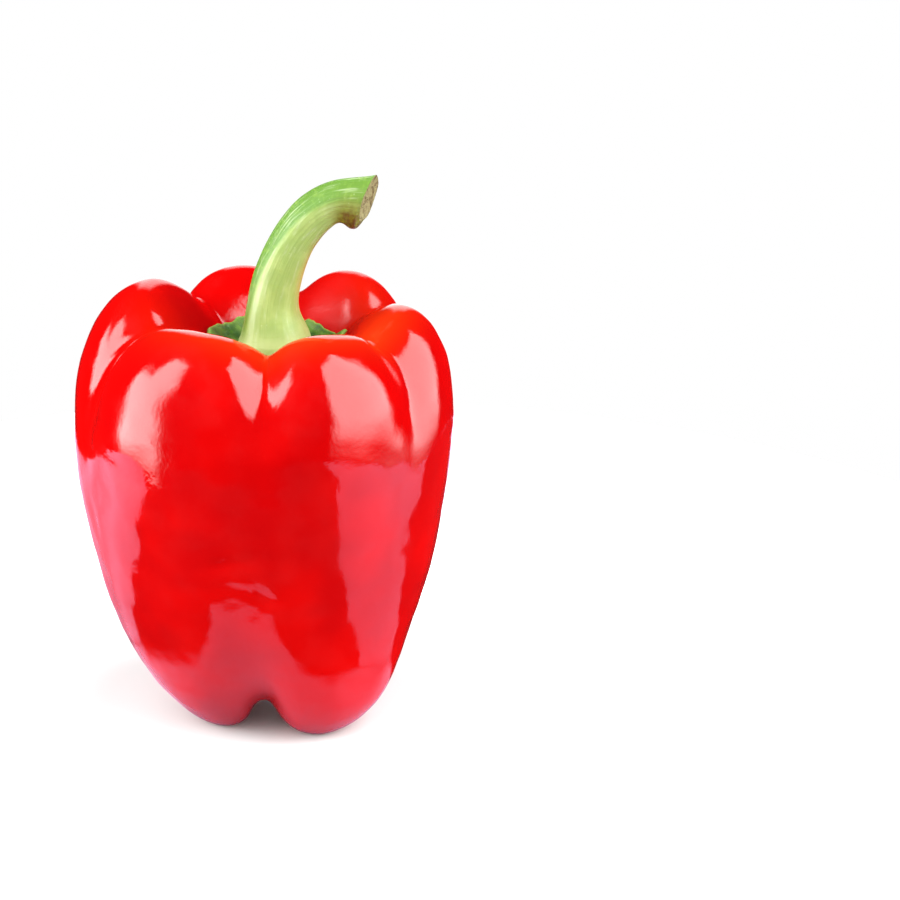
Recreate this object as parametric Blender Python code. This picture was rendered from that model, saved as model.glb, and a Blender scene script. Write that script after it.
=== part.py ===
"""A ripe bell pepper as picked: the fruit, the leafy calyx in its well and the cut stem.

Metres, +Z up. The fruit stands on its four feet on the plane Z = 0, and the origin is on that
plane, below the middle of the fruit. The front is towards -Y.
"""

import math

import bmesh
import bpy
import numpy as np

# Driving dimensions
BODY_WIDTH = 0.0850  # across the shoulders
BODY_HEIGHT = 0.0980  # floor to the crest of a plain shoulder
WELL_SHIFT = (0.0030, 0.0010)  # the well with its stem sits this far off the fruit's axis
SKIN_GAP = 0.0003  # clearance where one piece lies on another
CALYX_THICKNESS = 0.0014  # round the stem
CALYX_EDGE = 0.0006  # thickness at the rim
CALYX_REACH = 0.0136  # along the skin, from the middle of the well to the rim between two tips
NECK_RADIUS = 0.0053  # of the stem where it goes through the calyx
COLLAR_RADIUS = 0.0082  # of the stem where it spreads out on the calyx

# Mesh fineness
SMALL_STEP = 0.0001  # along a line, to find which way it runs
COLUMNS = 72  # round the fruit and the calyx
FRUIT_ROWS = 52
ROW_CROWDING = 0.06  # how far the rows crowd towards the well and the feet
CALYX_RINGS = 6
STEM_SIDES = 24
STEM_RINGS = 26

HALF_WIDTH = BODY_WIDTH / 2

# One meridian of the plain fruit, from the middle of the well over the shoulder and down to the
# blossom end: radius as a share of the half width, height as a share of the body's height.
MERIDIAN = (
    (0.000, 0.858),
    (0.190, 0.862),
    (0.330, 0.882),
    (0.460, 0.945),
    (0.640, 1.000),
    (0.870, 0.945),
    (1.000, 0.790),
    (0.975, 0.600),
    (0.898, 0.400),
    (0.785, 0.200),
    (0.615, 0.055),
    (0.385, -0.004),
    (0.190, 0.045),
    (0.000, 0.085),
)
RIM, SIDE, FOOT = 4, 6, 11  # which of those points is the top, the widest and the lowest

# How far along the meridian each swelling and groove reaches before and after its middle,
# as shares of the meridian's length
RIM_SPREAD = (0.07, 0.10)
SIDE_SPREAD = (0.10, 0.30)
FOOT_SPREAD = (0.14, 0.07)
TOP_GROOVE_SPREAD = (0.09, 0.16)
FOOT_GROOVE_SPREAD = (0.13, 0.13)
TOP_GROOVE_SHIFT = 0.03  # from the rim to the middle of its grooves
FOOT_GROOVE_SHIFT = -0.03
WELL_FADE = 0.30  # share of the meridian over which the well's shift dies away
ROW_SHARPNESS = 7  # how sharply one row of a table below gives way to the next

# Shoulders: angle in degrees, extra reach of the rim and of the side as shares, extra height in metres
SHOULDERS = (
    (8, 0.10, 0.02, 0.0004),
    (47, 0.09, 0.01, 0.0028),
    (109, 0.10, 0.00, 0.0024),
    (158, 0.08, 0.02, 0.0036),
    (236, 0.04, 0.00, -0.0005),
    (302, 0.02, 0.00, -0.0008),
)
# Feet: angle in degrees, extra reach as a share, lift off the floor in metres
FEET = (
    (45, 0.10, -0.0017),
    (125, 0.10, -0.0020),
    (207, -0.10, -0.0008),
    (316, 0.17, -0.0013),
)
# Grooves between the shoulders: angle, depth at the rim in metres, width in radians, twist
TOP_GROOVES = (
    (26, 0.0095, 0.22, 0.0),
    (79, 0.0095, 0.22, 0.0),
    (134, 0.0100, 0.22, 0.0),
    (198, 0.0080, 0.24, 0.3),
    (273, 0.0064, 0.15, 0.0),
    (333, 0.0078, 0.24, -0.5),
)
# Grooves between the feet
FOOT_GROOVES = (
    (0, 0.0070, 0.30, 0.0),
    (85, 0.0085, 0.25, 0.0),
    (165, 0.0070, 0.30, 0.0),
    (272, 0.0095, 0.20, 0.0),
)
TOP_ROUNDING = 0.07  # radians over which the bottom of a groove is rounded
FOOT_ROUNDING = 0.10
BLOSSOM_ROUNDING = 0.0012  # metres more, which round the foot grooves towards their meeting point
POLE = 0.0001  # keeps that rounding finite where they meet
BLOSSOM_END = 0.008  # the foot grooves fade out within this radius
TOP_CORE = (0.019, 0.060)  # radius and height that the grooves between the shoulders sink towards
FOOT_CORE = (0.008, 0.028)

# Tips of the calyx: angle in degrees, reach beyond the rim between the tips in metres
CALYX_TIPS = (
    (11, 0.0040),
    (64, 0.0062),
    (114, 0.0060),
    (163, 0.0045),
    (226, 0.0045),
    (300, 0.0050),
)
TIP_WIDTH = 0.26  # radians
RIB_HEIGHT = 0.0005  # of the rib that runs out to each tip
RIB_WIDTH = 0.10  # radians

# The stem's middle line above the collar, from the well's middle: sideways, forwards, height in metres
STEM_LINE = (
    (0.0000, 0.0000, 0.0880),
    (-0.0003, 0.0000, 0.0935),
    (0.0010, 0.0000, 0.1020),
    (0.0048, 0.0000, 0.1107),
    (0.0096, 0.0003, 0.1166),
    (0.0150, 0.0004, 0.1195),
    (0.0214, 0.0002, 0.1198),
)
STEM_RADII = (0.0082, 0.0063, 0.0054, 0.0049, 0.0047, 0.0046, 0.0054)
STEM_RIDGES = 5
RIDGE_DEPTH = 0.035  # as a share of the radius
CUT_NORMAL = (0.929, -0.259, -0.264)  # the way the cut end faces
CUT_LENGTH = 0.25  # share of the stem over which its rings turn to the slant of the cut
KNOB_AT = 0.95  # share of the stem's length
KNOB_HEIGHT = 0.0009  # of the swelling on the inside of the bend, next to the cut end
KNOB_SPREAD = (0.06, 0.10)  # shares of the stem's length
KNOB_WIDTH = 0.9  # radians


def clear_scene():
    for obj in list(bpy.data.objects):
        bpy.data.objects.remove(obj, do_unlink=True)


def spline_through(points, knots, at, start=None, end=None):
    """Cubic curve with continuous curvature through the points, with these slopes at its ends."""
    points, knots = np.array(points, float), np.array(knots, float)
    count, gaps = len(points), np.diff(knots)
    system, wanted = np.zeros((count, count)), np.zeros((count, points.shape[1]))
    slopes = np.diff(points, axis=0) / gaps[:, None]
    for i in range(1, count - 1):
        system[i, i - 1 : i + 2] = gaps[i - 1], 2 * (gaps[i - 1] + gaps[i]), gaps[i]
        wanted[i] = 6 * (slopes[i] - slopes[i - 1])
    system[0, :2] = 2 * gaps[0], gaps[0]
    wanted[0] = 0 if start is None else 6 * (slopes[0] - start)
    system[-1, -2:] = gaps[-1], 2 * gaps[-1]
    wanted[-1] = 0 if end is None else 6 * (end - slopes[-1])
    bend = np.linalg.solve(system, wanted)
    i = np.clip(np.searchsorted(knots, at, side="right") - 1, 0, count - 2)
    gap, left = gaps[i][:, None], (at - knots[i])[:, None]
    right = gap - left
    return (
        (bend[i] * right**3 + bend[i + 1] * left**3) / (6 * gap)
        + (points[i] / gap - bend[i] * gap / 6) * right
        + (points[i + 1] / gap - bend[i + 1] * gap / 6) * left
    )


def length_shares(points):
    """How far along a run of points each lies, from 0 to 1, and the length of the run."""
    steps = np.linalg.norm(np.diff(points, axis=0), axis=1)
    return np.concatenate([[0], np.cumsum(steps)]) / steps.sum(), steps.sum()


def bump(at, centre, spread):
    """A smooth hill, 1 at its centre, that falls off at its own rate before and after it."""
    before, after = spread if isinstance(spread, tuple) else (spread, spread)
    away = at - centre
    return np.exp(-((away / np.where(away < 0, before, after)) ** 2))


def angle_off(angles, middle):
    """The turn from one angle to each of the others, between -pi and pi."""
    return np.angle(np.exp(1j * (angles - middle)))


def around(angles, table, column):
    """A value that changes smoothly round the fruit between the rows of a table."""
    pull = [np.exp(ROW_SHARPNESS * (np.cos(angles - math.radians(row[0])) - 1)) for row in table]
    return sum(p * row[column] for p, row in zip(pull, table)) / sum(pull)


def grooves(angles, along, table, at, rounding):
    """How deep the grooves of a table are, at every angle and place along the meridian."""
    depth = 0
    for degrees, deep, width, twist in table:
        off = angle_off(angles, math.radians(degrees) + twist * (along - at))
        rounded = np.sqrt(off**2 + rounding**2) - rounding
        depth = depth + deep * np.exp(-rounded / width)
    return depth


MERIDIAN_POINTS = np.array(MERIDIAN) * (HALF_WIDTH, BODY_HEIGHT)
MERIDIAN_SHARES, MERIDIAN_LENGTH = length_shares(MERIDIAN_POINTS)


def towards(core, radius, height):
    """Unit steps from points of a meridian to a place inside the fruit."""
    step = np.stack([core[0] - radius, core[1] - height])
    return step / np.linalg.norm(step, axis=0)


def plain_meridian(along):
    """The meridian of the plain fruit: radius and height, level where it meets the axis."""
    first, last = np.diff(MERIDIAN_POINTS[:2, 0]), np.diff(MERIDIAN_POINTS[-2:, 0])
    start = np.array([first[0] / MERIDIAN_SHARES[1], 0])
    end = np.array([last[0] / (1 - MERIDIAN_SHARES[-2]), 0])
    return spline_through(MERIDIAN_POINTS, MERIDIAN_SHARES, along, start, end)


def fruit_surface(angles, along, lift=0.0):
    """Points of the fruit's skin, or of a surface that lies this far off it."""
    line = plain_meridian(along)
    ahead, behind = np.clip(along + SMALL_STEP, 0, 1), np.clip(along - SMALL_STEP, 0, 1)
    run = plain_meridian(ahead) - plain_meridian(behind)
    run /= np.linalg.norm(run, axis=1)[:, None]
    out_r, out_z = -run[:, 1], run[:, 0]
    rim_at, side_at, foot_at = (MERIDIAN_SHARES[i] for i in (RIM, SIDE, FOOT))
    at_rim = bump(along, rim_at, RIM_SPREAD)
    at_side = bump(along, side_at, SIDE_SPREAD)
    at_foot = bump(along, foot_at, FOOT_SPREAD)
    radius = line[:, 0] * (
        1
        + at_rim * around(angles, SHOULDERS, 1)
        + at_side * around(angles, SHOULDERS, 2)
        + at_foot * around(angles, FEET, 1)
    )
    height = line[:, 1] + at_rim * around(angles, SHOULDERS, 3) + at_foot * around(angles, FEET, 2)
    top = grooves(angles, along, TOP_GROOVES, rim_at, TOP_ROUNDING)
    top = top * bump(along, rim_at + TOP_GROOVE_SHIFT, TOP_GROOVE_SPREAD)
    foot_rounding = FOOT_ROUNDING + BLOSSOM_ROUNDING / (line[:, 0] + POLE)
    low = grooves(angles, along, FOOT_GROOVES, foot_at, foot_rounding)
    low = low * bump(along, foot_at + FOOT_GROOVE_SHIFT, FOOT_GROOVE_SPREAD)
    low = low * (1 - bump(line[:, 0], 0, BLOSSOM_END))
    inwards = top * towards(TOP_CORE, radius, height) + low * towards(FOOT_CORE, radius, height)
    radius = radius + inwards[0] + lift * out_r
    height = height + inwards[1] + lift * out_z
    lean = bump(along, 0, WELL_FADE)
    x = radius * np.cos(angles) + lean * WELL_SHIFT[0]
    y = radius * np.sin(angles) + lean * WELL_SHIFT[1]
    return np.stack([x, y, height], axis=1)


def calyx_reach(angles):
    """How far the calyx reaches along the skin from the middle of the well."""
    reach = CALYX_REACH
    for degrees, tip in CALYX_TIPS:
        reach = reach + tip * np.exp(-np.abs(angle_off(angles, math.radians(degrees))) / TIP_WIDTH)
    return reach


def calyx_ribs(angles):
    """1 on the rib that runs out to a tip, 0 between the ribs."""
    return sum(bump(angle_off(angles, math.radians(row[0])), 0, RIB_WIDTH) for row in CALYX_TIPS)


def calyx_points(angles, share, upper):
    """A ring of the calyx: share 0 is at the stem's neck and 1 at the rim."""
    inner = NECK_RADIUS + SKIN_GAP
    distance = inner + share * (calyx_reach(angles) - inner)
    lift = SKIN_GAP
    if upper:
        thickness = CALYX_THICKNESS + (CALYX_EDGE - CALYX_THICKNESS) * share
        lift = lift + thickness + RIB_HEIGHT * calyx_ribs(angles) * math.sin(math.pi * share) ** 2
    return fruit_surface(angles, distance / MERIDIAN_LENGTH, lift)


def stem_points(angles, along):
    """A ring of the stem above its foot: along 0 is the collar and 1 the cut end."""
    line = np.array(STEM_LINE)
    shares, length = length_shares(line)
    up = np.array([0, 0, length])
    place = np.array([along])
    middle, ahead, behind = (
        spline_through(line, shares, place + step, up)[0] for step in (0, SMALL_STEP, -SMALL_STEP)
    )
    tangent = (ahead - behind) / np.linalg.norm(ahead - behind)
    side = np.cross((0, 1, 0), tangent)
    side /= np.linalg.norm(side)
    front = np.cross(tangent, side)
    radius = spline_through(np.array(STEM_RADII)[:, None], shares, place)[0, 0]
    radius = radius * (1 + RIDGE_DEPTH * np.cos(STEM_RIDGES * angles))
    knob = bump(angle_off(angles, 0), 0, KNOB_WIDTH) * bump(place, KNOB_AT, KNOB_SPREAD)
    radius = radius + KNOB_HEIGHT * knob
    ring = radius[:, None] * (np.cos(angles)[:, None] * side + np.sin(angles)[:, None] * front)
    slide = -(ring @ np.array(CUT_NORMAL)) / (tangent @ np.array(CUT_NORMAL))
    ring += (max(0, 1 - (1 - along) / CUT_LENGTH) * slide)[:, None] * tangent
    return ring + middle + (*WELL_SHIFT, 0)


def add_object(name, rings, closed, material, parent):
    """A mesh through rings of points: closed on itself, or with a fan over each end."""
    shape = bmesh.new()
    loops = [[shape.verts.new(point) for point in ring] for ring in rings]
    pairs = list(zip(loops, loops[1:]))
    if closed:
        pairs.append((loops[-1], loops[0]))
    for first, second in pairs:
        for i, start in enumerate(first):
            j = (i + 1) % len(first)
            shape.faces.new([start, second[i], second[j], first[j]])
    if not closed:
        for loop, ring in ((loops[0], rings[0]), (loops[-1], rings[-1])):
            tip = shape.verts.new(np.mean(ring, axis=0))
            for i, start in enumerate(loop):
                shape.faces.new([tip, start, loop[(i + 1) % len(loop)]])
    bmesh.ops.recalc_face_normals(shape, faces=shape.faces)
    mesh = bpy.data.meshes.new(name)
    shape.to_mesh(mesh)
    shape.free()
    mesh.shade_smooth()
    mesh.set_sharp_from_angle(angle=math.radians(40))
    mesh.materials.append(material)
    obj = bpy.data.objects.new(name, mesh)
    obj.parent = parent
    bpy.context.scene.collection.objects.link(obj)
    return obj


def make_material(name, colour, roughness):
    material = bpy.data.materials.new(name)
    material.use_nodes = True
    shader = material.node_tree.nodes["Principled BSDF"]
    shader.inputs["Base Color"].default_value = (*colour, 1)
    shader.inputs["Roughness"].default_value = roughness
    shader.inputs["Metallic"].default_value = 0
    return material


def make_fruit(parent):
    columns = np.linspace(0, 2 * np.pi, COLUMNS, endpoint=False)
    shares = np.linspace(0, 1, FRUIT_ROWS + 1)[1:-1]
    shares = shares - ROW_CROWDING * np.sin(2 * np.pi * shares)
    rings = [fruit_surface(columns, np.full(COLUMNS, share)) for share in shares]
    for ring in rings:
        ring[:, 2] = np.maximum(ring[:, 2], 0)  # the feet are pressed flat where they stand
    return add_object("fruit", rings, False, make_material("ripe_skin", (0.72, 0.010, 0.008), 0.22), parent)


def make_calyx(parent):
    columns = np.linspace(0, 2 * np.pi, COLUMNS, endpoint=False)
    shares = np.linspace(0, 1, CALYX_RINGS)
    rings = [calyx_points(columns, share, False) for share in shares]
    rings += [calyx_points(columns, share, True) for share in shares[::-1]]
    return add_object("calyx", rings, True, make_material("calyx_leaf", (0.05, 0.16, 0.03), 0.55), parent)


def make_stem(parent):
    sides = np.linspace(0, 2 * np.pi, STEM_SIDES, endpoint=False)
    neck = np.full(STEM_SIDES, NECK_RADIUS / MERIDIAN_LENGTH)
    collar = np.full(STEM_SIDES, COLLAR_RADIUS / MERIDIAN_LENGTH)
    above_calyx = 2 * SKIN_GAP + CALYX_THICKNESS
    rings = [
        fruit_surface(sides, neck, SKIN_GAP),
        fruit_surface(sides, neck, above_calyx),
        fruit_surface(sides, collar, above_calyx),
    ]
    rings += [stem_points(sides, along) for along in np.linspace(0, 1, STEM_RINGS)]
    return add_object("stem", rings, False, make_material("stem_green", (0.42, 0.55, 0.14), 0.45), parent)


def main():
    clear_scene()
    pepper = bpy.data.objects.new("bell_pepper", None)
    bpy.context.scene.collection.objects.link(pepper)
    fruit = make_fruit(pepper)
    make_calyx(pepper)
    make_stem(pepper)
    corners = np.array(fruit.bound_box)
    middle = (corners.min(axis=0) + corners.max(axis=0)) / 2
    pepper.location = (-middle[0], -middle[1], 0)


main()
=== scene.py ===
import math

import bpy
import numpy as np
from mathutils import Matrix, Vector, noise


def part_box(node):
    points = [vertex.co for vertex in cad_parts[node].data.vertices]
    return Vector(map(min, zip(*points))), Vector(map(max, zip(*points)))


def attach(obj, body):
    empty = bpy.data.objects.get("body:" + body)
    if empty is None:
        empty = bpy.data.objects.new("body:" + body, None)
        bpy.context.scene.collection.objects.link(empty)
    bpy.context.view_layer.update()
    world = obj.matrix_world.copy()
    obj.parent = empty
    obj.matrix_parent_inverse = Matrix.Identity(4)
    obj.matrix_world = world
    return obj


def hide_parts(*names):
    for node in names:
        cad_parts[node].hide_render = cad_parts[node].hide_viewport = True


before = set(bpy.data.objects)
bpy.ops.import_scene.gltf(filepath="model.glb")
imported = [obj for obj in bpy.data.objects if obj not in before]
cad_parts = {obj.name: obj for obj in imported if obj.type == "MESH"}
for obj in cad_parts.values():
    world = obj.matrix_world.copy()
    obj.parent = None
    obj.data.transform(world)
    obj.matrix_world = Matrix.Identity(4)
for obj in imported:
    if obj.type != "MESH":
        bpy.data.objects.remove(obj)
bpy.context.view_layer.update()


# helpers for shapes

def splineThrough(points, knots, at, start=None, end=None):
    # cubic curve with continuous curvature through the points, with these slopes at its ends
    points, knots = np.array(points, float), np.array(knots, float)
    count, gaps = len(points), np.diff(knots)
    system, wanted = np.zeros((count, count)), np.zeros((count, points.shape[1]))
    slopes = np.diff(points, axis=0) / gaps[:, None]
    for i in range(1, count - 1):
        system[i, i - 1 : i + 2] = gaps[i - 1], 2 * (gaps[i - 1] + gaps[i]), gaps[i]
        wanted[i] = 6 * (slopes[i] - slopes[i - 1])
    system[0, :2] = 2 * gaps[0], gaps[0]
    wanted[0] = 0 if start is None else 6 * (slopes[0] - start)
    system[-1, -2:] = gaps[-1], 2 * gaps[-1]
    wanted[-1] = 0 if end is None else 6 * (end - slopes[-1])
    bend = np.linalg.solve(system, wanted)
    i = np.clip(np.searchsorted(knots, at, side="right") - 1, 0, count - 2)
    gap, left = gaps[i][:, None], (at - knots[i])[:, None]
    right = gap - left
    return (
        (bend[i] * right**3 + bend[i + 1] * left**3) / (6 * gap)
        + (points[i] / gap - bend[i] * gap / 6) * right
        + (points[i + 1] / gap - bend[i + 1] * gap / 6) * left
    )


def lengthShares(points):  # how far along a run of points each lies, from 0 to 1, and the whole length
    steps = np.linalg.norm(np.diff(points, axis=0), axis=1)
    return np.concatenate([[0], np.cumsum(steps)]) / steps.sum(), steps.sum()


def hill(at, middle, spread):  # 1 in the middle, falling off at its own rate before and after it
    before, after = spread if isinstance(spread, tuple) else (spread, spread)
    away = at - middle
    return np.exp(-((away / np.where(away < 0, before, after)) ** 2))


def ease(low, high, at):  # 0 up to low, 1 from high on, smooth between them
    share = np.clip((at - low) / (high - low), 0, 1)
    return share * share * (3 - 2 * share)


def turnFrom(angles, degrees):  # the turn from one angle to each of the others, between -pi and pi
    return np.angle(np.exp(1j * (angles - np.radians(degrees))))


def ripples(points, size, seed):  # smooth noise from -1 to 1 with bumps of about this size
    offset = Vector((seed * 7.3, seed * 3.1, seed * 5.7))
    return np.array([noise.noise(Vector(point) + offset) for point in points / size])


def gridNormals(grid):  # outward normals of rows of points, each row closed on itself
    down = np.gradient(grid, axis=0)
    across = np.roll(grid, -1, axis=1) - np.roll(grid, 1, axis=1)
    normals = np.cross(down, across)
    return normals / np.maximum(np.linalg.norm(normals, axis=2, keepdims=True), 1e-12)


def gridMesh(name, grid, closed=False):
    # quads between the rows of points: the rows join end to end, or a fan closes each end
    rowCount, sideCount = grid.shape[:2]
    points = list(map(tuple, grid.reshape(-1, 3)))
    faces = []
    for row in range(rowCount if closed else rowCount - 1):
        here, below = row * sideCount, (row + 1) % rowCount * sideCount
        for side in range(sideCount):
            following = (side + 1) % sideCount
            faces.append((here + side, below + side, below + following, here + following))
    if not closed:
        ends = ((0, len(points), False), ((rowCount - 1) * sideCount, len(points) + 1, True))
        for start, tip, turned in ends:
            points.append(tuple(np.mean(points[start : start + sideCount], axis=0)))
            for side in range(sideCount):
                pair = (start + side, start + (side + 1) % sideCount)
                faces.append((tip, *(pair[::-1] if turned else pair)))
    mesh = bpy.data.meshes.new(name)
    mesh.from_pydata(points, [], faces)
    mesh.validate()
    mesh.shade_smooth()
    return mesh


def paintMask(mesh, name, grid):  # one number for each point of the grid, and the mean for the fans' tips
    values = list(grid.reshape(-1))
    values += [float(grid[0].mean()), float(grid[-1].mean())][: len(mesh.vertices) - len(values)]
    mesh.attributes.new(name, "FLOAT", "POINT").data.foreach_set("value", np.array(values, np.float32))


def addPiece(name, mesh, materials, node):
    for material in materials:
        mesh.materials.append(material)
    piece = bpy.data.objects.new(name, mesh)
    bpy.context.scene.collection.objects.link(piece)
    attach(piece, "root")
    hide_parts(node)
    print("made", name, len(mesh.polygons), "faces")


# helpers for shader nodes

def addNode(tree, kind, values=None, **settings):
    node = tree.nodes.new(kind)
    for setting, value in settings.items():
        setattr(node, setting, value)
    for socket, value in (values or {}).items():
        if isinstance(value, bpy.types.NodeSocket):
            tree.links.new(value, node.inputs[socket])
        else:
            node.inputs[socket].default_value = value
    return node


def calculate(tree, operation, *values):
    return addNode(tree, "ShaderNodeMath", dict(enumerate(values)), operation=operation).outputs[0]


def partly(tree, mask, strength):  # a mask that shows only this strongly
    return calculate(tree, "MULTIPLY", mask, strength)


def blendColours(tree, share, colourA, colourB):
    colours = {6: colourA, 7: colourB}
    colours = {i: c if isinstance(c, bpy.types.NodeSocket) else (*c, 1) for i, c in colours.items()}
    return addNode(tree, "ShaderNodeMix", {0: share, **colours}, data_type="RGBA").outputs[2]


def smoothRange(tree, value, low, high, toLow=0.0, toHigh=1.0):
    sockets = {"Value": value, "From Min": low, "From Max": high, "To Min": toLow, "To Max": toHigh}
    return addNode(tree, "ShaderNodeMapRange", sockets, interpolation_type="SMOOTHSTEP").outputs["Result"]


def readMask(tree, name):
    return addNode(tree, "ShaderNodeAttribute", attribute_name=name).outputs["Fac"]


def newGroup(name, inputs, output):
    group = bpy.data.node_groups.new(name, "ShaderNodeTree")
    for socketName, value in inputs.items():
        socket = group.interface.new_socket(socketName, in_out="INPUT", socket_type="NodeSocketFloat")
        socket.default_value = value
    group.interface.new_socket(output, in_out="OUTPUT", socket_type="NodeSocketFloat")
    return group, group.nodes.new("NodeGroupInput"), group.nodes.new("NodeGroupOutput")


def useGroup(tree, group, values):
    return addNode(tree, "ShaderNodeGroup", values, node_tree=group).outputs[0]


def newMaterial(name):
    material = bpy.data.materials.new(name)
    material.use_nodes = True
    return material, material.node_tree, material.node_tree.nodes["Principled BSDF"]


def makeBlotches():  # soft patches of about this size in metres
    inputs = {"Size": 0.01, "Detail": 2.0, "Low": 0.4, "High": 0.6}
    group, given, result = newGroup("blotches", inputs, "Mask")
    place = addNode(group, "ShaderNodeTexCoord").outputs["Object"]
    scale = calculate(group, "DIVIDE", 1.0, given.outputs["Size"])
    noiseInputs = {"Vector": place, "Scale": scale, "Detail": given.outputs["Detail"]}
    pattern = addNode(group, "ShaderNodeTexNoise", noiseInputs)
    mask = smoothRange(group, pattern.outputs[0], given.outputs["Low"], given.outputs["High"])
    group.links.new(mask, result.inputs[0])
    return group


def makeSpecks():  # scattered round dots: one in every so many cells
    group, given, result = newGroup("specks", {"Spacing": 0.002, "Radius": 0.2, "Share": 0.5}, "Mask")
    place = addNode(group, "ShaderNodeTexCoord").outputs["Object"]
    scale = calculate(group, "DIVIDE", 1.0, given.outputs["Spacing"])
    cells = addNode(group, "ShaderNodeTexVoronoi", {"Vector": place, "Scale": scale})
    dot = smoothRange(group, cells.outputs["Distance"], given.outputs["Radius"], 0.0)
    chance = addNode(group, "ShaderNodeSeparateColor", {0: cells.outputs["Color"]}).outputs[0]
    kept = calculate(group, "LESS_THAN", chance, given.outputs["Share"])
    group.links.new(calculate(group, "MULTIPLY", dot, kept), result.inputs[0])
    return group


def makeStreaks():  # lines that run along a piece, from how far round and how far along each place is
    inputs = {"Around": 0.0, "Along": 0.0, "Lines": 20.0, "Breaks": 3.0, "Low": 0.4, "High": 0.6}
    group, given, result = newGroup("streaks", inputs, "Mask")
    across = calculate(group, "MULTIPLY", given.outputs["Around"], given.outputs["Lines"])
    along = calculate(group, "MULTIPLY", given.outputs["Along"], given.outputs["Breaks"])
    place = addNode(group, "ShaderNodeCombineXYZ", {"X": across, "Y": along}).outputs[0]
    pattern = addNode(group, "ShaderNodeTexNoise", {"Vector": place, "Scale": 1.0, "Detail": 3.0})
    mask = smoothRange(group, pattern.outputs[0], given.outputs["Low"], given.outputs["High"])
    group.links.new(mask, result.inputs[0])
    return group


blotches, specks, streaks = makeBlotches(), makeSpecks(), makeStreaks()
print("node groups ready")


# the fruit, with the shape that part.py gives it

fruitShape = {
    "width": 0.0850,  # across the shoulders
    "height": 0.0980,  # floor to the crest of a plain shoulder
    "wellShift": (0.0030, 0.0010),  # the well with its stem sits this far off the fruit's axis
    # one meridian of the plain fruit: share of the half width, share of the height
    "meridian": (
        (0.000, 0.858), (0.190, 0.862), (0.330, 0.882), (0.460, 0.945), (0.640, 1.000), (0.870, 0.945),
        (1.000, 0.790), (0.975, 0.600), (0.898, 0.400), (0.785, 0.200), (0.615, 0.055), (0.385, -0.004),
        (0.190, 0.045), (0.000, 0.085),
    ),
    "rim": 4, "side": 6, "foot": 11,  # which of those points is the top, the widest and the lowest
    "rimSpread": (0.07, 0.10), "sideSpread": (0.10, 0.30), "footSpread": (0.14, 0.07),
    "topGrooveSpread": (0.09, 0.16), "footGrooveSpread": (0.13, 0.13),
    "topGrooveShift": 0.03, "footGrooveShift": -0.03,
    "wellFade": 0.30,
    "rowSharpness": 7,
    # degrees, extra reach of the rim and of the side, extra height
    "shoulders": (
        (8, 0.10, 0.02, 0.0004), (47, 0.09, 0.01, 0.0028), (109, 0.10, 0.00, 0.0024),
        (158, 0.08, 0.02, 0.0036), (236, 0.04, 0.00, -0.0005), (302, 0.02, 0.00, -0.0008),
    ),
    "feet": ((45, 0.10, -0.0017), (125, 0.10, -0.0020), (207, -0.10, -0.0008), (316, 0.17, -0.0013)),
    # degrees, depth at the rim, width in radians, twist
    "topGrooves": (
        (26, 0.0095, 0.22, 0.0), (79, 0.0095, 0.22, 0.0), (134, 0.0100, 0.22, 0.0),
        (198, 0.0080, 0.24, 0.3), (273, 0.0064, 0.15, 0.0), (333, 0.0078, 0.24, -0.5),
    ),
    "footGrooves": (
        (0, 0.0070, 0.30, 0.0), (85, 0.0085, 0.25, 0.0), (165, 0.0070, 0.30, 0.0), (272, 0.0095, 0.20, 0.0),
    ),
    "topRounding": 0.07, "footRounding": 0.10,
    "blossomRounding": 0.0012, "pole": 0.0001, "blossomEnd": 0.008,
    "topCore": (0.019, 0.060), "footCore": (0.008, 0.028),  # radius and height that the grooves sink towards
}

fruitLook = {
    "columns": 360, "rows": 246, "rowCrowding": 0.06,
    "swellings": ((0.024, 0.00050, 1), (0.0095, 0.00024, 2), (0.0040, 0.00006, 3)),  # size, height, seed
    "wrinkles": (2.4, 0.0075, 0.00007, 7),  # how much flatter than wide, width, height, seed
    "frontHollow": (268, 0.20, 0.052, 0.038, 0.0013),  # degrees, half width, starts and ends at, depth
    "frontCreases": (268, 0.26, 0.044, 0.010, 0.00010),  # degrees, half width, height, spread, depth
    "creaseNoise": (1.6, 0.007, 3, 5),  # how much flatter than wide, size, strength, seed
    # small dents: degrees, half width in radians, height, half height, slant, depth
    "dents": (
        (263, 0.13, 0.0500, 0.0015, 0.006, 0.00034), (274, 0.07, 0.0415, 0.0018, -0.012, 0.00030),
        (214, 0.09, 0.0600, 0.0030, 0.010, 0.00022), (204, 0.06, 0.0520, 0.0040, -0.020, 0.00020),
        (316, 0.06, 0.0620, 0.0035, 0.020, 0.00022), (308, 0.08, 0.0490, 0.0020, 0.012, 0.00026),
    ),
    "dentNoise": (0.0045, 0.5, 6),  # size, strength, seed
    "calmWell": (0.10, 0.17),  # the swellings start this far along the meridian, clear of the calyx
    "deepRed": (0.40, 0.0008, 0.0014), "brightRed": (0.52, 0.0010, 0.0010),
    # painted glow: an orange tint on the well side of the rim, strongest towards the front right, stands in
    # for light shining through the thin wall
    "paintedGlowOrange": (0.64, 0.030, 0.0030), "paintedGlowSide": -60, "paintedGlowShift": -0.02, "paintedGlowSpread": (0.08, 0.05),
    "speckRed": (0.64, 0.010, 0.006), "freckleStrength": 0.35,
    "scarBrown": (0.30, 0.12, 0.03), "scar": (0.992, 0.998),  # fades in between these, along the meridian
    # where the well's wall is duller: degrees, half width, fades in between, fades out from the rim between
    "dustyWall": (50, 0.66, (0.07, 0.12), (-0.03, 0.04)),
    "roughness": (0.06, 0.13), "dullness": 0.10,
    "ior": 1.45,
}

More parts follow.
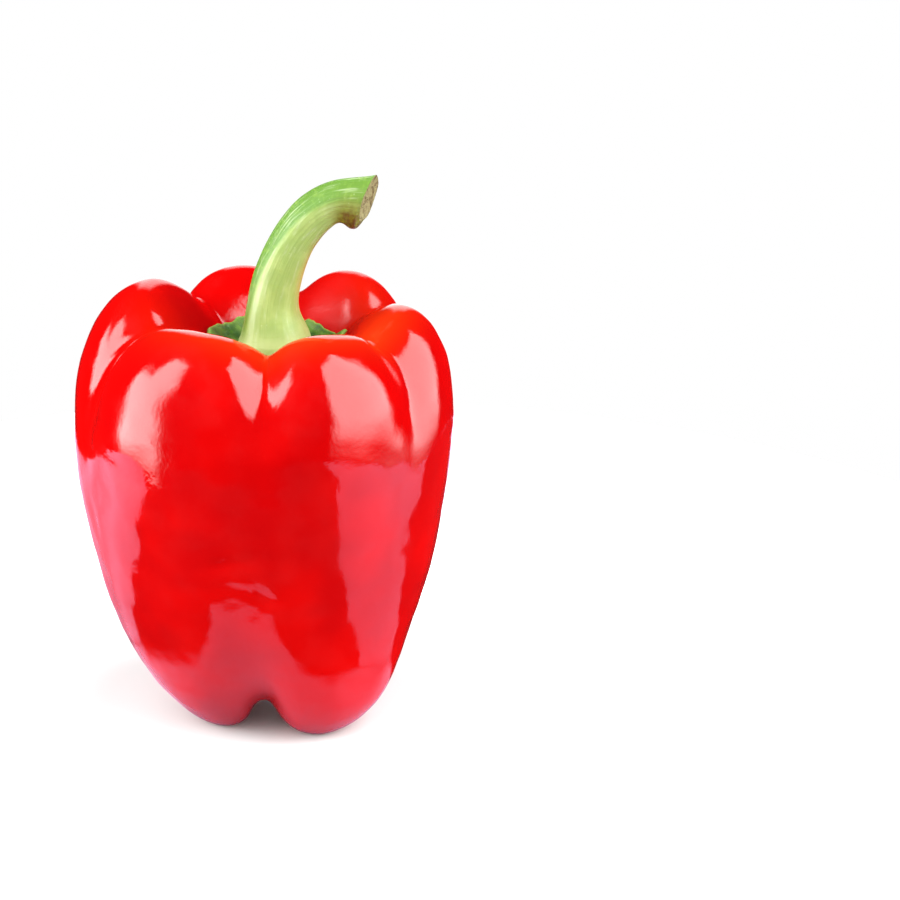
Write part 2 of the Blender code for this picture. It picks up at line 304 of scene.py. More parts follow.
smallStep = 0.0001  # along a line, to find which way it runs
halfSize = (fruitShape["width"] / 2, fruitShape["height"])
meridianPoints = np.array(fruitShape["meridian"]) * halfSize
meridianShares, meridianLength = lengthShares(meridianPoints)
rimAt, sideAt, footAt = (meridianShares[fruitShape[part]] for part in ("rim", "side", "foot"))


def around(angles, rows, column):  # a value that changes smoothly round the fruit, from row to row
    sharpness = fruitShape["rowSharpness"]
    pull = [np.exp(sharpness * (np.cos(angles - math.radians(row[0])) - 1)) for row in rows]
    return sum(p * row[column] for p, row in zip(pull, rows)) / sum(pull)


def grooves(angles, along, rows, at, rounding):
    depth = 0
    for degrees, deep, width, twist in rows:
        off = turnFrom(angles - twist * (along - at), degrees)
        depth = depth + deep * np.exp(-(np.sqrt(off**2 + rounding**2) - rounding) / width)
    return depth


def towards(core, radius, height):  # unit steps from points of a meridian to a place inside the fruit
    step = np.stack([core[0] - radius, core[1] - height])
    return step / np.linalg.norm(step, axis=0)


def plainMeridian(along):  # radius and height, level where it meets the axis
    first, last = np.diff(meridianPoints[:2, 0]), np.diff(meridianPoints[-2:, 0])
    start = np.array([first[0] / meridianShares[1], 0])
    end = np.array([last[0] / (1 - meridianShares[-2]), 0])
    return splineThrough(meridianPoints, meridianShares, along, start, end)


def grooveDepths(angles, along, radius):  # of the grooves between the shoulders, and between the feet
    shape = fruitShape
    top = grooves(angles, along, shape["topGrooves"], rimAt, shape["topRounding"])
    top = top * hill(along, rimAt + shape["topGrooveShift"], shape["topGrooveSpread"])
    rounding = shape["footRounding"] + shape["blossomRounding"] / (radius + shape["pole"])
    low = grooves(angles, along, shape["footGrooves"], footAt, rounding)
    low = low * hill(along, footAt + shape["footGrooveShift"], shape["footGrooveSpread"])
    return top, low * (1 - hill(radius, 0, shape["blossomEnd"]))


def fruitSurface(angles, along, lift=0.0):  # points of the skin, or of a surface that lies this far off it
    shape = fruitShape
    line = plainMeridian(along)
    run = plainMeridian(np.clip(along + smallStep, 0, 1)) - plainMeridian(np.clip(along - smallStep, 0, 1))
    run /= np.linalg.norm(run, axis=1)[:, None]
    atRim = hill(along, rimAt, shape["rimSpread"])
    atSide = hill(along, sideAt, shape["sideSpread"])
    atFoot = hill(along, footAt, shape["footSpread"])
    radius = line[:, 0] * (
        1
        + atRim * around(angles, shape["shoulders"], 1)
        + atSide * around(angles, shape["shoulders"], 2)
        + atFoot * around(angles, shape["feet"], 1)
    )
    height = line[:, 1] + atRim * around(angles, shape["shoulders"], 3)
    height = height + atFoot * around(angles, shape["feet"], 2)
    top, low = grooveDepths(angles, along, line[:, 0])
    inwards = top * towards(shape["topCore"], radius, height)
    inwards = inwards + low * towards(shape["footCore"], radius, height)
    radius = radius + inwards[0] - lift * run[:, 1]
    height = height + inwards[1] + lift * run[:, 0]
    lean = hill(along, 0, shape["wellFade"])
    x = radius * np.cos(angles) + lean * shape["wellShift"][0]
    y = radius * np.sin(angles) + lean * shape["wellShift"][1]
    return np.stack([x, y, height], axis=1)


def fruitGrid():
    columns = np.linspace(0, 2 * np.pi, fruitLook["columns"], endpoint=False)
    shares = np.linspace(0, 1, fruitLook["rows"] + 1)[1:-1]
    shares = shares - fruitLook["rowCrowding"] * np.sin(2 * np.pi * shares)
    along, angles = (part.reshape(-1) for part in np.meshgrid(shares, columns, indexing="ij"))
    points = fruitSurface(angles, along)
    shape = (len(shares), len(columns))
    normals = gridNormals(points.reshape(*shape, 3)).reshape(-1, 3)
    swelling = sum(height * ripples(points, size, seed) for size, height, seed in fruitLook["swellings"])
    flatter, width, height, seed = fruitLook["wrinkles"]
    swelling = swelling + height * ripples(points * (1, 1, flatter), width, seed)
    swelling = swelling * ease(*fruitLook["calmWell"], along)
    degrees, width, top, bottom, depth = fruitLook["frontHollow"]
    below = ease(-top, -bottom, -points[:, 2])
    swelling = swelling - depth * hill(turnFrom(angles, degrees), 0, width) * below
    degrees, width, middle, spread, depth = fruitLook["frontCreases"]
    creased = hill(turnFrom(angles, degrees), 0, width) * hill(points[:, 2], middle, spread)
    flatter, size, strength, seed = fruitLook["creaseNoise"]
    swelling = swelling - depth * creased * strength * np.abs(ripples(points * (1, 1, flatter), size, seed))
    size, strength, seed = fruitLook["dentNoise"]
    for degrees, width, middle, spread, slant, depth in fruitLook["dents"]:
        aside = turnFrom(angles, degrees)
        dented = hill(aside, 0, width) * hill(points[:, 2] - slant * aside, middle, spread)
        swelling = swelling - depth * dented * (1 + strength * ripples(points, size, seed))
    points = points + normals * swelling[:, None]
    return points.reshape(*shape, 3), along.reshape(shape), angles.reshape(shape)


def pepperShift(points):  # moves the fruit's own axis so that the fruit fills its place in the frame
    low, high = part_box("fruit")
    wanted = (low + high) / 2
    middle = (points.min(axis=(0, 1)) + points.max(axis=(0, 1))) / 2
    return np.array([wanted.x - middle[0], wanted.y - middle[1], 0])


def makeRipeSkin():
    look = fruitLook
    material, tree, shader = newMaterial("ripeSkin")
    patches = useGroup(tree, blotches, {"Size": 0.024, "Detail": 2.5, "Low": 0.34, "High": 0.64})
    colour = blendColours(tree, patches, look["deepRed"], look["brightRed"])
    # painted glow: orange where light seems to shine through the wall near the rim
    colour = blendColours(tree, readMask(tree, "paintedGlowMask"), colour, look["paintedGlowOrange"])
    freckles = useGroup(tree, specks, {"Spacing": 0.0013, "Radius": 0.16, "Share": 0.35})
    colour = blendColours(tree, partly(tree, freckles, look["freckleStrength"]), colour, look["speckRed"])
    colour = blendColours(tree, readMask(tree, "blossomScar"), colour, look["scarBrown"])
    tree.links.new(colour, shader.inputs["Base Color"])
    smears = useGroup(tree, blotches, {"Size": 0.007, "Detail": 4.0, "Low": 0.35, "High": 0.70})
    roughness = smoothRange(tree, smears, 0.0, 1.0, *look["roughness"])
    roughness = calculate(tree, "MULTIPLY_ADD", readMask(tree, "dullInside"), look["dullness"], roughness)
    tree.links.new(roughness, shader.inputs["Roughness"])
    shader.inputs["IOR"].default_value = look["ior"]
    peel = useGroup(tree, blotches, {"Size": 0.0009, "Detail": 1.0, "Low": 0.2, "High": 0.8})
    relief = addNode(tree, "ShaderNodeBump", {"Strength": 0.22, "Distance": 0.00004, "Height": peel})
    tree.links.new(relief.outputs[0], shader.inputs["Normal"])
    return material


fruitPoints, fruitAlong, fruitAngles = fruitGrid()
shift = pepperShift(fruitPoints)
fruitPoints = fruitPoints + shift
fruitPoints[..., 2] = np.maximum(fruitPoints[..., 2], 0)  # the feet are pressed flat where they stand

fruitMesh = gridMesh("ripeFruit", fruitPoints)
# painted glow mask: a band on the well side of the rim, strongest towards the front right, where light seems
# to shine through the wall
facing = 0.5 + 0.5 * np.cos(turnFrom(fruitAngles, fruitLook["paintedGlowSide"]))
paintedGlowBand = hill(fruitAlong, rimAt + fruitLook["paintedGlowShift"], fruitLook["paintedGlowSpread"])
paintMask(fruitMesh, "paintedGlowMask", paintedGlowBand * facing**2)
degrees, width, start, end = fruitLook["dustyWall"]
dusty = hill(turnFrom(fruitAngles, degrees), 0, width) * ease(*start, fruitAlong)
paintMask(fruitMesh, "dullInside", dusty * (1 - ease(*end, fruitAlong - rimAt)))
paintMask(fruitMesh, "blossomScar", ease(*fruitLook["scar"], fruitAlong))
addPiece("ripeFruit", fruitMesh, [makeRipeSkin()], "fruit")


# the calyx

calyxShape = {
    "gap": 0.0003, "thickness": 0.0014, "edge": 0.0006,
    "reach": 0.0148,  # along the skin, from the middle of the well to the rim between two tips
    "neck": 0.0053,  # radius of the stem where it goes through
    # degrees, extra reach, half width in radians
    "tips": (
        (11, 0.0038, 0.24), (62, 0.0020, 0.40), (128, 0.0034, 0.50),
        (166, 0.0016, 0.30), (226, 0.0036, 0.30), (300, 0.0040, 0.30),
    ),
    "tipPoint": 1.4,  # 1 is a sharp tip and 2 a round one
    "ribHeight": 0.0006, "ribWidth": 0.07, "paintedRibWidth": 0.05, "ribStart": (0.05, 0.30),
    "columns": 300, "upperRings": 40, "lowerRings": 8,
    "blisters": ((0.0034, 0.00080, 11), (0.0014, 0.00022, 12)),  # size, height, seed
    "curl": (0.0012, 0.55, 0.5, 22),  # how far the rim lifts off the fruit, from which share on, size, seed
    "raggedness": (0.0009, 0.12, 21),  # height, size, seed
    "rimStart": 0.93, "rimPaleness": 0.8, "veinPaleness": 0.55, "dotPaleness": 0.4,
    "fullness": 0.7,  # the leaf is thicker between neck and rim: below 1 over a broad band
    "ribCalm": 0.6,  # share of the blisters that the ribs smooth away
    "leafDark": (0.026, 0.092, 0.008), "leafGreen": (0.100, 0.220, 0.018), "leafPale": (0.26, 0.42, 0.07),
    "roughness": 0.42,
}


def calyxReach(angles):
    reach = calyxShape["reach"]
    for degrees, tip, width in calyxShape["tips"]:
        away = np.abs(turnFrom(angles, degrees)) / width
        reach = reach + tip * np.exp(-(away ** calyxShape["tipPoint"]))
    unit = np.stack([np.cos(angles), np.sin(angles), 0 * angles], axis=1)
    height, size, seed = calyxShape["raggedness"]
    return reach + height * ripples(unit, size, seed)


def calyxRibs(angles, width):
    return sum(hill(turnFrom(angles, row[0]), 0, width) for row in calyxShape["tips"])


def calyxRing(angles, share, upper):  # share 0 is at the stem's neck and 1 at the rim
    shape = calyxShape
    inner = shape["neck"] + shape["gap"]
    distance = inner + share * (calyxReach(angles) - inner)
    unit = np.stack([np.cos(angles), np.sin(angles), 0 * angles + 2 * share], axis=1)
    height, start, size, seed = shape["curl"]
    lift = shape["gap"] + height * ease(start, 1.0, share) * (0.5 + 0.5 * ripples(unit, size, seed))
    plain = fruitSurface(angles, distance / meridianLength)
    if upper:
        thickness = shape["thickness"] + (shape["edge"] - shape["thickness"]) * share
        middle = math.sin(math.pi * share) ** shape["fullness"] if 0 < share < 1 else 0
        crinkle = sum(height * ripples(plain, size, seed) for size, height, seed in shape["blisters"])
        ribs = calyxRibs(angles, shape["ribWidth"])
        crinkle = np.abs(crinkle) * (1 - shape["ribCalm"] * ribs)
        lift = lift + thickness + middle * (shape["ribHeight"] * ribs + crinkle)
    return fruitSurface(angles, distance / meridianLength, lift)


def makeCalyxLeaf():
    look = calyxShape
    material, tree, shader = newMaterial("calyxLeaf")
    patches = useGroup(tree, blotches, {"Size": 0.0040, "Detail": 3.0, "Low": 0.36, "High": 0.62})
    colour = blendColours(tree, patches, look["leafDark"], look["leafGreen"])
    veins = partly(tree, readMask(tree, "leafRib"), look["veinPaleness"])
    colour = blendColours(tree, veins, colour, look["leafPale"])
    colour = blendColours(tree, readMask(tree, "leafRim"), colour, look["leafPale"])
    dots = useGroup(tree, specks, {"Spacing": 0.0007, "Radius": 0.3, "Share": 0.3})
    colour = blendColours(tree, partly(tree, dots, look["dotPaleness"]), colour, look["leafPale"])
    tree.links.new(colour, shader.inputs["Base Color"])
    shader.inputs["Roughness"].default_value = look["roughness"]
    grain = useGroup(tree, blotches, {"Size": 0.0006, "Detail": 3.0, "Low": 0.25, "High": 0.75})
    relief = addNode(tree, "ShaderNodeBump", {"Strength": 0.6, "Distance": 0.0002, "Height": grain})
    tree.links.new(relief.outputs[0], shader.inputs["Normal"])
    return material


calyxAngles = np.linspace(0, 2 * np.pi, calyxShape["columns"], endpoint=False)
lowerShares = np.linspace(0, 1, calyxShape["lowerRings"])
upperShares = np.linspace(1, 0, calyxShape["upperRings"])
calyxGrid = np.stack(
    [calyxRing(calyxAngles, share, False) for share in lowerShares]
    + [calyxRing(calyxAngles, share, True) for share in upperShares]
) + shift
calyxMesh = gridMesh("calyxLeaf", calyxGrid, closed=True)
calyxShares = np.concatenate([lowerShares, upperShares])[:, None] + 0 * calyxAngles
ribMask = calyxRibs(calyxAngles, calyxShape["paintedRibWidth"]) * ease(*calyxShape["ribStart"], calyxShares)
paintMask(calyxMesh, "leafRib", ribMask * (1 - calyxShares**4))
rimMask = ease(calyxShape["rimStart"], 1.0, calyxShares)
paintMask(calyxMesh, "leafRim", rimMask * calyxShape["rimPaleness"])
addPiece("calyxLeaf", calyxMesh, [makeCalyxLeaf()], "calyx")


# the stem

stemShape = {
    # middle line above the collar, from the well's middle: sideways, forwards, height
    "line": (
        (0.0000, 0.0000, 0.0880), (-0.0003, 0.0000, 0.0935), (0.0010, 0.0000, 0.1020),
        (0.0048, 0.0000, 0.1107), (0.0096, 0.0003, 0.1166), (0.0150, 0.0004, 0.1195),
        (0.0214, 0.0002, 0.1198),
    ),
    "radii": (0.0082, 0.0063, 0.0054, 0.0049, 0.0047, 0.0046, 0.0054),
    "collar": 0.0082,  # radius where it spreads out on the calyx
    "ridgeAngles": (12, 84, 150, 228, 300), "ridgeTwist": 28, "ridgeWidth": 0.30, "ridgeHeight": 0.00042,
    "fluting": (31, 0.00002),  # fine lines along the stem: how many round it, and their height
    "cutNormal": (0.929, -0.259, -0.264), "cutLength": 0.25,
    "cutHollow": 0.0006, "cutGrain": ((0.0011, 0.00025, 41), (0.0005, 0.00015, 42)),  # size, height, seed
    "cutCorner": 50,  # degrees: edges sharper than this stay crisp
    "knobAt": 0.955, "knobHeight": 0.0013, "knobSpread": (0.05, 0.06), "knobWidth": 0.9,
    # the skin rolls in round the lower side of the cut: degrees, half width, where it starts, how far
    "lip": (-10, 0.9, 0.972, 0.0016),
    "unevenness": (0.014, 2, 9, 0.9, 31),  # share of the radius, stretch round and along it, size, seed
    "sides": 180, "rings": 150, "cutRings": 26,
    "upperGreen": (0.112, 0.245, 0.026), "frontGreen": (0.37, 0.50, 0.145), "paleStreak": (0.52, 0.62, 0.36),
    "olive": (0.19, 0.19, 0.010), "brown": (0.09, 0.038, 0.005), "rust": (0.34, 0.17, 0.02),
    "collarPale": (0.48, 0.58, 0.22), "ringGreen": (0.28, 0.42, 0.07),
    "fleshPale": (0.28, 0.24, 0.105), "fleshBrown": (0.13, 0.09, 0.03), "fleshPit": (0.05, 0.028, 0.010),
    "roughness": 0.40, "cutRoughness": 0.8,
    # how strongly each of these shows
    "patchStrength": 0.35, "streakStrength": 0.5, "ringStrength": 0.4, "dotStrength": 0.5,
    "seam": 90,  # degrees: the streaks on one side of it mirror those on the other
    "facetTurn": 1.0,  # how far the facets turn round the stem from the collar to the cut, in radians
    "upperFacet": (150, 0.42, 0.66),  # degrees of its middle, and between which cosines it fades in
    # degrees, half width, how far along the stem, spread along it, strength
    "ridgeLine": (222, 0.17, 0.22, (0.18, 0.16), 0.4),
    "innerEdge": (0, 0.55, 0.45, (0.35, 0.45), 0.6),
    "bruise": (-25, 1.15, 0.93, (0.09, 0.12), 1.35),
    "paleFoot": (0.10, 0.8),  # up to how far along the stem, strength
}


def stemRing(angles, along):  # along 0 is the collar and 1 the cut end
    shape = stemShape
    line = np.array(shape["line"])
    shares, length = lengthShares(line)
    place = np.array([along])
    start = np.array([0, 0, length])
    steps = (0, smallStep, -smallStep)
    middle, ahead, behind = (splineThrough(line, shares, place + step, start)[0] for step in steps)
    tangent = (ahead - behind) / np.linalg.norm(ahead - behind)
    side = np.cross((0, 1, 0), tangent)
    side /= np.linalg.norm(side)
    front = np.cross(tangent, side)
    radius = splineThrough(np.array(shape["radii"])[:, None], shares, place)[0, 0]
    turned = angles - math.radians(shape["ridgeTwist"]) * along
    ridges = sum(hill(turnFrom(turned, degrees), 0, shape["ridgeWidth"]) for degrees in shape["ridgeAngles"])
    count, depth = shape["fluting"]
    radius = radius + shape["ridgeHeight"] * (ridges - 0.5) + depth * np.cos(count * turned)
    knob = hill(turnFrom(angles, 0), 0, shape["knobWidth"])
    radius = radius + shape["knobHeight"] * knob * hill(place, shape["knobAt"], shape["knobSpread"])
    degrees, width, start, depth = shape["lip"]
    radius = radius - depth * ease(start, 1.0, along) ** 2 * hill(turnFrom(angles, degrees), 0, width)
    ring = radius[:, None] * (np.cos(angles)[:, None] * side + np.sin(angles)[:, None] * front)
    height, turns, run, size, seed = shape["unevenness"]
    roughened = np.stack([turns * np.cos(angles), turns * np.sin(angles), 0 * angles + run * along], axis=1)
    ring *= (1 + height * ripples(roughened, size, seed))[:, None]
    normal = np.array(shape["cutNormal"])
    slide = -(ring @ normal) / (tangent @ normal)
    ring += (max(0, 1 - (1 - along) / shape["cutLength"]) * slide)[:, None] * tangent
    return ring + middle + (*fruitShape["wellShift"], 0)


def makeStemSkin():
    look = stemShape
    material, tree, shader = newMaterial("stemSkin")
    place = {"Around": readMask(tree, "stemTurn"), "Along": readMask(tree, "stemAlong")}
    colour = blendColours(tree, readMask(tree, "upperSide"), look["frontGreen"], look["upperGreen"])
    patches = useGroup(tree, blotches, {"Size": 0.006, "Detail": 3.0, "Low": 0.42, "High": 0.66})
    colour = blendColours(tree, partly(tree, patches, look["patchStrength"]), colour, look["upperGreen"])
    lines = useGroup(tree, streaks, {**place, "Lines": 22.0, "Breaks": 7.0, "Low": 0.52, "High": 0.74})
    colour = blendColours(tree, partly(tree, lines, look["streakStrength"]), colour, look["paleStreak"])
    colour = blendColours(tree, readMask(tree, "stemFoot"), colour, look["collarPale"])
    rings = useGroup(tree, streaks, {**place, "Lines": 5.0, "Breaks": 46.0, "Low": 0.5, "High": 0.75})
    colour = blendColours(tree, partly(tree, rings, look["ringStrength"]), colour, look["ringGreen"])
    colour = blendColours(tree, readMask(tree, "ridgeLine"), colour, look["paleStreak"])
    dots = useGroup(tree, specks, {"Spacing": 0.0011, "Radius": 0.22, "Share": 0.35})
    colour = blendColours(tree, partly(tree, dots, look["dotStrength"]), colour, look["paleStreak"])
    colour = blendColours(tree, readMask(tree, "innerEdge"), colour, look["rust"])
    crumbs = useGroup(tree, blotches, {"Size": 0.0014, "Detail": 3.0, "Low": 0.30, "High": 0.62})
    bruise = readMask(tree, "bruise")
    colour = blendColours(tree, bruise, colour, look["olive"])
    darkest = calculate(tree, "MULTIPLY", calculate(tree, "MULTIPLY", bruise, bruise), crumbs)
    colour = blendColours(tree, darkest, colour, look["brown"])
    tree.links.new(colour, shader.inputs["Base Color"])
    shader.inputs["Roughness"].default_value = look["roughness"]
    fibres = useGroup(tree, streaks, {**place, "Lines": 90.0, "Breaks": 6.0, "Low": 0.3, "High": 0.7})
    relief = addNode(tree, "ShaderNodeBump", {"Strength": 0.35, "Distance": 0.00012, "Height": fibres})
    tree.links.new(relief.outputs[0], shader.inputs["Normal"])
    return material


def makeCutFlesh():
    look = stemShape
    material, tree, shader = newMaterial("cutFlesh")
    patches = useGroup(tree, blotches, {"Size": 0.0016, "Detail": 4.0, "Low": 0.45, "High": 0.68})
    colour = blendColours(tree, patches, look["fleshPale"], look["fleshBrown"])
    pits = useGroup(tree, specks, {"Spacing": 0.00055, "Radius": 0.42, "Share": 0.4})
    colour = blendColours(tree, pits, colour, look["fleshPit"])
    tree.links.new(colour, shader.inputs["Base Color"])
    shader.inputs["Roughness"].default_value = look["cutRoughness"]
    sockets = {"Strength": 0.8, "Distance": 0.0002, "Height": pits}
    relief = addNode(tree, "ShaderNodeBump", sockets, invert=True)
    tree.links.new(relief.outputs[0], shader.inputs["Normal"])
    return material


stemAngles = np.linspace(0, 2 * np.pi, stemShape["sides"], endpoint=False)
neckAt = np.full(len(stemAngles), calyxShape["neck"] / meridianLength)
collarAt = np.full(len(stemAngles), stemShape["collar"] / meridianLength)
aboveCalyx = 2 * calyxShape["gap"] + calyxShape["thickness"]
footRings = [
    fruitSurface(stemAngles, neckAt, calyxShape["gap"]),
    fruitSurface(stemAngles, neckAt, aboveCalyx),
    fruitSurface(stemAngles, collarAt, aboveCalyx),
]
stemAlongs = np.linspace(0, 1, stemShape["rings"])
stemRings = [stemRing(stemAngles, along) for along in stemAlongs]
cutEdge, cutMiddle = stemRings[-1], stemRings[-1].mean(axis=0)
cutRings = []
for share in np.linspace(1, 0, stemShape["cutRings"] + 1)[1:-1]:
    ring = cutMiddle + (cutEdge - cutMiddle) * share
    depth = stemShape["cutHollow"] * (1 - share**4)
    depth = depth + sum(height * ripples(ring, size, seed) for size, height, seed in stemShape["cutGrain"])
    cutRings.append(ring - depth[:, None] * np.array(stemShape["cutNormal"]))
stemGrid = np.stack(footRings + stemRings + cutRings) + shift
stemMesh = gridMesh("cutStem", stemGrid)
bodyAlong = np.concatenate([[0] * len(footRings), stemAlongs, [1] * len(cutRings)])[:, None] + 0 * stemAngles
bodyTurn = 0 * bodyAlong + stemAngles
paintMask(stemMesh, "stemAlong", bodyAlong)
paintMask(stemMesh, "stemTurn", np.abs(turnFrom(bodyTurn, stemShape["seam"])) / math.pi)
twisted = bodyTurn - stemShape["facetTurn"] * bodyAlong
degrees, low, high = stemShape["upperFacet"]
paintMask(stemMesh, "upperSide", ease(low, high, np.cos(turnFrom(twisted, degrees))))
for name, turn, (degrees, width, at, spread, strength) in (
    ("ridgeLine", twisted, stemShape["ridgeLine"]),
    ("innerEdge", bodyTurn, stemShape["innerEdge"]),
    ("bruise", bodyTurn, stemShape["bruise"]),
):
    mask = strength * hill(turnFrom(turn, degrees), 0, width) * hill(bodyAlong, at, spread)
    paintMask(stemMesh, name, np.minimum(1, mask))
end, strength = stemShape["paleFoot"]
paintMask(stemMesh, "stemFoot", (1 - ease(0.0, end, bodyAlong)) * strength)
addPiece("cutStem", stemMesh, [makeStemSkin(), makeCutFlesh()], "stem")
firstCutFace = (len(footRings) + len(stemRings) - 1) * stemShape["sides"]
cutFaces = range(firstCutFace, firstCutFace + len(cutRings) * stemShape["sides"])
lastFan = range(len(stemMesh.polygons) - stemShape["sides"], len(stemMesh.polygons))
for index in (*cutFaces, *lastFan):
    stemMesh.polygons[index].material_index = 1
stemMesh.set_sharp_from_angle(angle=math.radians(stemShape["cutCorner"]))


# floor, light and camera

studio = {
    "floorRadius": 0.23,
    "floorWhite": (0.74, 0.80, 0.80),
    "floorGlow": (0.038, 0.085, 1.0),  # the paper is overexposed away from the fruit: from, to, how much
    "floorGrey": (0.42, 0.42, 0.44),  # what it throws back onto the fruit
    "floorMirrored": (1.00, 0.74, 1.10),  # what the fruit mirrors of it where that is brightest
    "floorShine": (0.10, 0.23, 1.0, 1.5),  # and how much brighter that gets with distance
    "floorDark": (0.006, 0.006, 0.008),
    "floorRoughness": 0.9, "floorGloss": 0.1, "floorSides": 96,
    # azimuth in degrees, 0 towards the camera: white within one radius and beyond the next, how white
    "floorAround": (
        (-180, 0.050, 0.050, 0.4), (-116, 0.050, 0.050, 0.4), (-104, 0.050, 0.050, 0.9),
        (-90, 0.050, 0.050, 0.9), (-82, 0.044, 0.100, 0.9), (-76, 0.044, 0.100, 0.9),
        (-66, 0.044, 0.23, 0.6), (-38, 0.046, 0.23, 0.5), (-28, 0.056, 0.23, 0.5),
        (-22, 0.070, 0.23, 0.5), (-4, 0.070, 0.23, 0.5), (2, 0.056, 0.23, 0.5),
        (10, 0.048, 0.23, 0.5), (36, 0.048, 0.23, 0.5), (44, 0.050, 0.110, 0.6),
        (60, 0.050, 0.050, 0.62), (92, 0.050, 0.050, 0.62), (102, 0.030, 0.23, 0.5),
        (150, 0.030, 0.23, 0.5), (160, 0.050, 0.060, 0.5), (180, 0.050, 0.050, 0.5),
    ),
    "floorFade": 0.008,
    "gap": 0.010,  # radiance of the dark gaps between the lights
    # middle azimuth, half width, its fade, low edge, its fade, high edge, its fade, all in degrees,
    # the radiance that is mirrored and the radiance that lights dull surfaces
    "lights": (
        (-80.5, 20.5, 9, -17, 12, 33, 8, 10.0, 6.2),  # left softbox
        (-72, 12, 9, 33, 8, 56, 10, 10.0, 6.2),  # its narrower upper part
        (78, 33, 11, -9, 26, 66, 8, 7.8, 1.9),  # right softbox
        (180, 12, 8, -20, 10, 36, 14, 2.0, 1.0),  # pale wall behind
        (0, 60, 40, 0, 20, 75, 20, 0.0, 1.4),  # soft fill from the front
        (-90, 60, 30, 35, 10, 75, 10, 0.0, 1.6),  # soft fill from high on the left
    ),
    "target": (0.0419, 0.0, 0.0622),  # what the camera looks at: the middle of the frame, right of the fruit
    "elevation": 19, "lens": 100, "sensor": 36, "clipStart": 0.01,
    "viewWidth": 0.204,  # what the picture spans at the target
}


def makeWorld():
    world = bpy.data.worlds.new("studioLight")
    bpy.context.scene.world = world
    world.use_nodes = True
    tree = world.node_tree
    background = tree.nodes["Background"]
    direction = addNode(tree, "ShaderNodeTexCoord").outputs["Generated"]
    split = addNode(tree, "ShaderNodeSeparateXYZ", {0: direction})
    mirrored = lit = studio["gap"]
    for middle, halfWidth, sideFade, low, lowFade, high, highFade, shine, glow in studio["lights"]:
        radians = math.radians(middle)
        ahead = calculate(tree, "MULTIPLY", split.outputs["Y"], -math.cos(radians))
        ahead = calculate(tree, "MULTIPLY_ADD", split.outputs["X"], math.sin(radians), ahead)
        aside = calculate(tree, "MULTIPLY", split.outputs["Y"], math.sin(radians))
        aside = calculate(tree, "MULTIPLY_ADD", split.outputs["X"], math.cos(radians), aside)
        azimuth = calculate(tree, "ABSOLUTE", calculate(tree, "ARCTAN2", aside, ahead))
        elevation = calculate(tree, "ARCSINE", split.outputs["Z"])
        mask = 1.0
        edges = ((azimuth, halfWidth, -sideFade), (elevation, low, lowFade), (elevation, high, -highFade))
        for angle, edge, fade in edges:
            start, end = math.radians(edge - fade / 2), math.radians(edge + fade / 2)
            mask = calculate(tree, "MULTIPLY", mask, smoothRange(tree, angle, start, end))
        mirrored = calculate(tree, "MULTIPLY_ADD", mask, shine, mirrored)
        lit = calculate(tree, "MULTIPLY_ADD", mask, glow, lit)
    rays = addNode(tree, "ShaderNodeLightPath")
    dull = {0: rays.outputs["Is Diffuse Ray"], 2: mirrored, 3: lit}
    radiance = addNode(tree, "ShaderNodeMix", dull, data_type="FLOAT").outputs[0]
    seen = {0: rays.outputs["Is Camera Ray"], 2: radiance, 3: 1.0}
    radiance = addNode(tree, "ShaderNodeMix", seen, data_type="FLOAT").outputs[0]
    tree.links.new(radiance, background.inputs["Strength"])
    background.inputs["Color"].default_value = (1, 1, 1, 1)


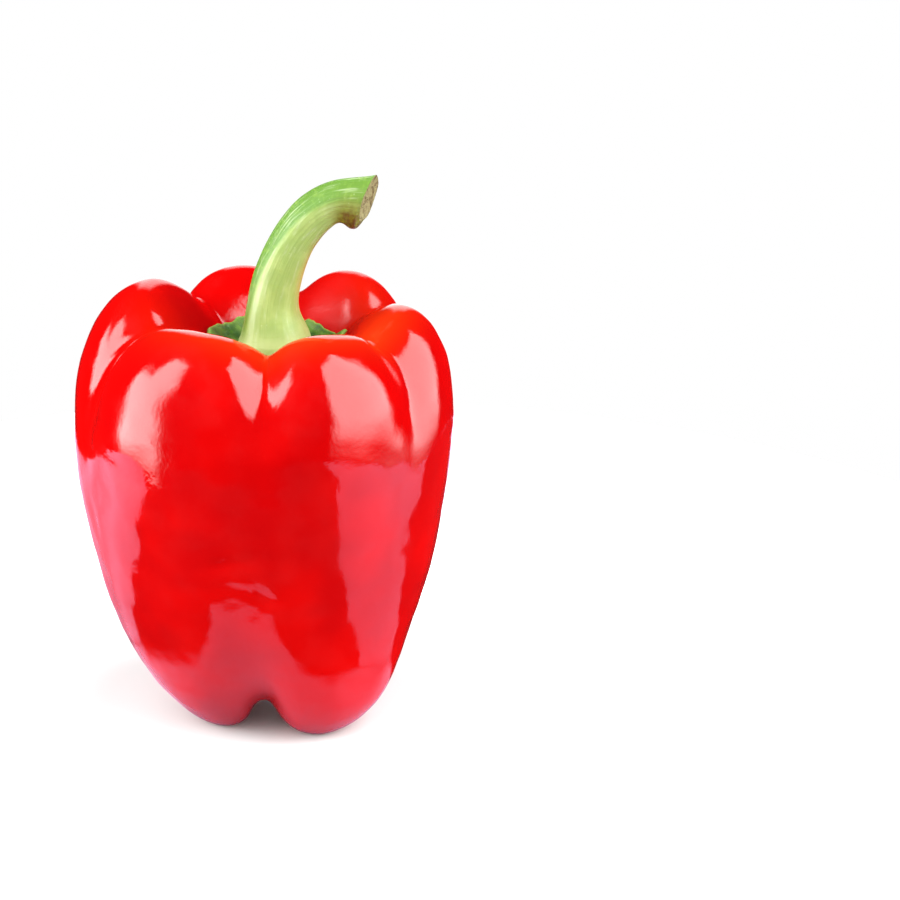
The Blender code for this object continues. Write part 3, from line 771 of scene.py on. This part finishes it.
def makeWhitePaper():
    material, tree, shader = newMaterial("whitePaper")
    place = addNode(tree, "ShaderNodeTexCoord").outputs["Object"]
    split = addNode(tree, "ShaderNodeSeparateXYZ", {0: place})
    towardsCamera = calculate(tree, "MULTIPLY", split.outputs["Y"], -1.0)
    azimuth = calculate(tree, "ARCTAN2", split.outputs["X"], towardsCamera)
    share = calculate(tree, "MULTIPLY_ADD", azimuth, 1 / (2 * math.pi), 0.5)
    ramp = addNode(tree, "ShaderNodeValToRGB", {"Fac": share})
    stops = ramp.color_ramp.elements
    for i, (degrees, within, beyond, brightness) in enumerate(studio["floorAround"]):
        stop = stops[i] if i < 2 else stops.new(1.0)
        radii = (within / studio["floorRadius"], beyond / studio["floorRadius"])
        stop.position, stop.color = degrees / 360 + 0.5, (*radii, brightness, 1)
    borders = addNode(tree, "ShaderNodeSeparateColor", {0: ramp.outputs["Color"]}).outputs
    distance = addNode(tree, "ShaderNodeVectorMath", {0: place}, operation="LENGTH").outputs["Value"]
    fade = studio["floorFade"] / 2
    pastNear = calculate(tree, "MULTIPLY_ADD", borders[0], -studio["floorRadius"], distance)
    pastFar = calculate(tree, "MULTIPLY_ADD", borders[1], -studio["floorRadius"], distance)
    near = smoothRange(tree, pastNear, fade, -fade)
    far = smoothRange(tree, pastFar, -fade, fade)
    shown = calculate(tree, "MAXIMUM", far, near)
    start, end, less, more = studio["floorShine"]
    brightness = calculate(tree, "MULTIPLY", borders[2], smoothRange(tree, distance, start, end, less, more))
    sockets = {0: studio["floorMirrored"], "Scale": brightness}
    white = addNode(tree, "ShaderNodeVectorMath", sockets, operation="SCALE")
    mirrored = blendColours(tree, shown, studio["floorDark"], white.outputs[0])
    rays = addNode(tree, "ShaderNodeLightPath")
    colour = blendColours(tree, rays.outputs["Is Camera Ray"], studio["floorGrey"], studio["floorWhite"])
    colour = blendColours(tree, rays.outputs["Is Glossy Ray"], colour, mirrored)
    tree.links.new(colour, shader.inputs["Base Color"])
    start, end, glow = studio["floorGlow"]
    glow = smoothRange(tree, distance, start, end, 0.0, glow)
    glow = calculate(tree, "MULTIPLY", rays.outputs["Is Camera Ray"], glow)
    tree.links.new(glow, shader.inputs["Emission Strength"])
    shader.inputs["Roughness"].default_value = studio["floorRoughness"]
    shader.inputs["Specular IOR Level"].default_value = studio["floorGloss"]
    return material


def makeFloor():
    turns = np.linspace(0, 2 * np.pi, studio["floorSides"], endpoint=False)
    radius = studio["floorRadius"]
    rim = [(radius * math.cos(turn), radius * math.sin(turn), 0) for turn in turns]
    mesh = bpy.data.meshes.new("paperFloor")
    mesh.from_pydata(rim, [], [tuple(range(len(rim)))])
    mesh.materials.append(makeWhitePaper())
    floor = bpy.data.objects.new("paperFloor", mesh)
    bpy.context.scene.collection.objects.link(floor)


def makeCamera():
    camera = bpy.data.cameras.new("camera")
    camera.lens, camera.sensor_width = studio["lens"], studio["sensor"]
    camera.clip_start = studio["clipStart"]
    holder = bpy.data.objects.new("camera", camera)
    bpy.context.scene.collection.objects.link(holder)
    elevation = math.radians(studio["elevation"])
    back = Vector((0, -math.cos(elevation), math.sin(elevation)))
    distance = studio["viewWidth"] * studio["lens"] / studio["sensor"]
    holder.location = Vector(studio["target"]) + back * distance
    holder.rotation_mode = "QUATERNION"
    holder.rotation_quaternion = (-back).to_track_quat("-Z", "Y")
    bpy.context.scene.camera = holder


makeWorld()
makeFloor()
makeCamera()
bpy.context.scene.view_settings.view_transform = "Standard"
print("studio ready")
